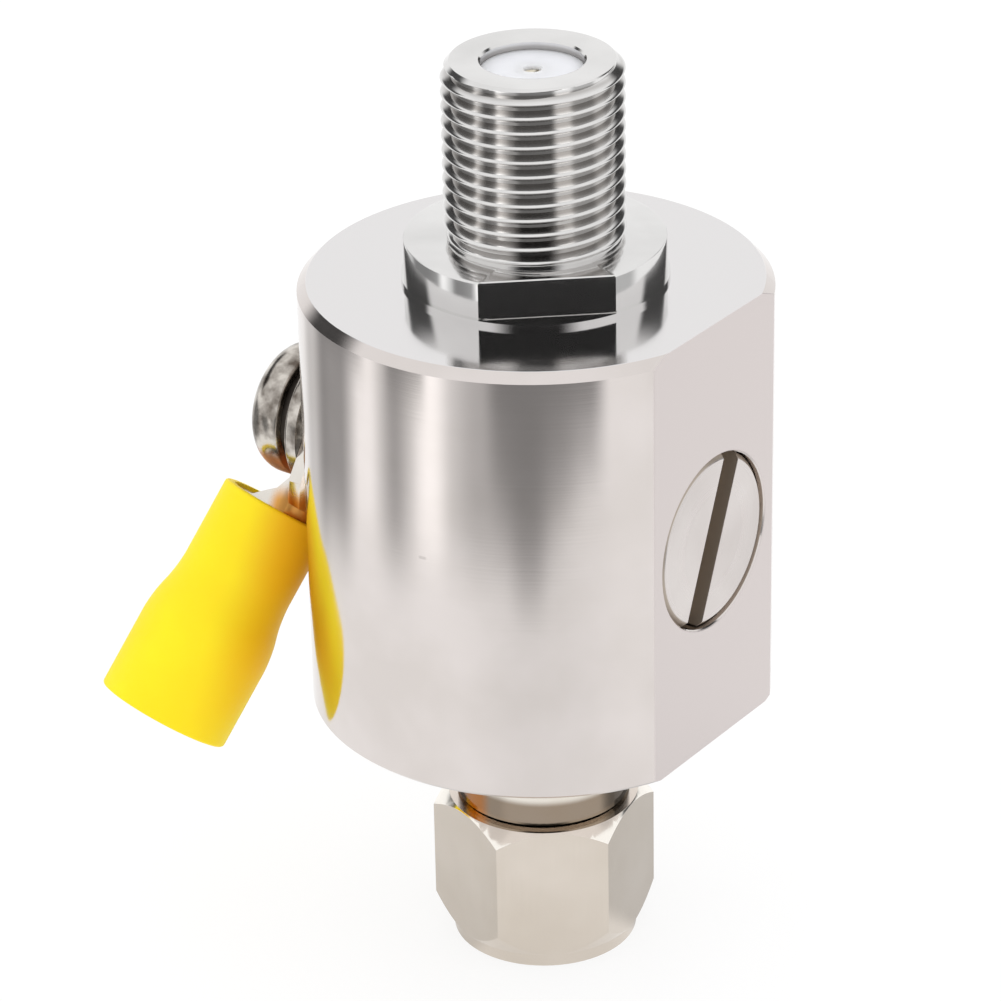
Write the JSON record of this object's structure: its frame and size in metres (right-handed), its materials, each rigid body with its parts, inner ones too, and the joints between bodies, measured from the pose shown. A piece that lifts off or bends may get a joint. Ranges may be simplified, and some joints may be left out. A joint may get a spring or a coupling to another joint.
{
  "type": "coaxial surge arrestor",
  "caption": "Round inline coaxial surge arrestor with a threaded jack, a captive hex coupling nut, a slotted gas-tube cap and a sleeved ground ring terminal on a screw.",
  "frame": {"origin": "centre of the coupling nut's open end face, on the connector axis", "axes": "+Z along the connector axis from the plug to the jack; +X out through the gas-tube cap, -X out through the ground screw; +Y completes a right-handed frame"},
  "size_m": [0.033, 0.0264, 0.0514],
  "materials": {
    "nickel_body": "nickel plate, fine turned",
    "nickel_thread": "bright nickel plate",
    "nickel_nut": "fine matte nickel plate",
    "gold": "gold plate",
    "seal_rubber": "matte",
    "white_polymer": "satin fluoropolymer",
    "spring_steel": "plated spring steel",
    "ceramic_white": "fired alumina",
    "electrode": "nickel-iron alloy",
    "steel_screw": "tarnished nickel-plated steel",
    "tinned_copper": "bright tin plate on copper",
    "yellow_vinyl": "soft satin vinyl"
  },
  "bodies": {
    "housing": {"housing": "nickel_body", "jack_shell": "nickel_thread", "jack_seal_ring": "seal_rubber", "jack_dielectric": "white_polymer", "jack_contact": "gold", "centre_conductor": "gold", "plug_neck": "nickel_thread", "retaining_ring": "spring_steel", "plug_gasket": "seal_rubber", "plug_insulator": "white_polymer", "plug_pin": "gold"},
    "coupling_nut": {"coupling_nut": "nickel_nut"},
    "gas_tube": {"gas_tube_ceramic": "ceramic_white", "inner_electrode": "electrode", "outer_electrode": "electrode", "contact_spring": "spring_steel"},
    "cap": {"gas_tube_cap": "nickel_body", "cap_seal_ring": "seal_rubber"},
    "screw_washers": {"spring_washer": "steel_screw", "flat_washer": "steel_screw"},
    "ground_screw": {"ground_screw": "steel_screw"},
    "terminal": {"ring_terminal": "tinned_copper", "terminal_sleeve": "yellow_vinyl"}
  },
  "joints": [
    {"name": "nut_spin", "type": "hinge", "parent": "housing", "child": "coupling_nut", "pos_m": [0, 0, 0.0043], "axis": [0, 0, 1], "continuous": true},
    {"name": "cap_travel", "type": "slide", "parent": "housing", "child": "gas_tube", "axis": [1, 0, 0], "range_m": [0, 0.0045]},
    {"name": "cap_turn", "type": "hinge", "parent": "gas_tube", "child": "cap", "pos_m": [0.0095, 0, 0.02695], "axis": [1, 0, 0], "range_deg": [0, 2160]},
    {"name": "screw_travel", "type": "slide", "parent": "housing", "child": "screw_washers", "axis": [-1, 0, 0], "range_m": [0, 0.0035]},
    {"name": "screw_turn", "type": "hinge", "parent": "screw_washers", "child": "ground_screw", "pos_m": [-0.0125, 0, 0.02755], "axis": [-1, 0, 0], "range_deg": [0, 1800]},
    {"name": "terminal_swivel", "type": "hinge", "parent": "housing", "child": "terminal", "pos_m": [-0.0128, 0, 0.02755], "axis": [-1, 0, 0], "range_deg": [-8, 117]}
  ],
  "couplings": [
    {"joint": "cap_turn", "follows": "cap_travel", "rad_per_m": 8377.6},
    {"joint": "screw_turn", "follows": "screw_travel", "rad_per_m": 8976}
  ]
}
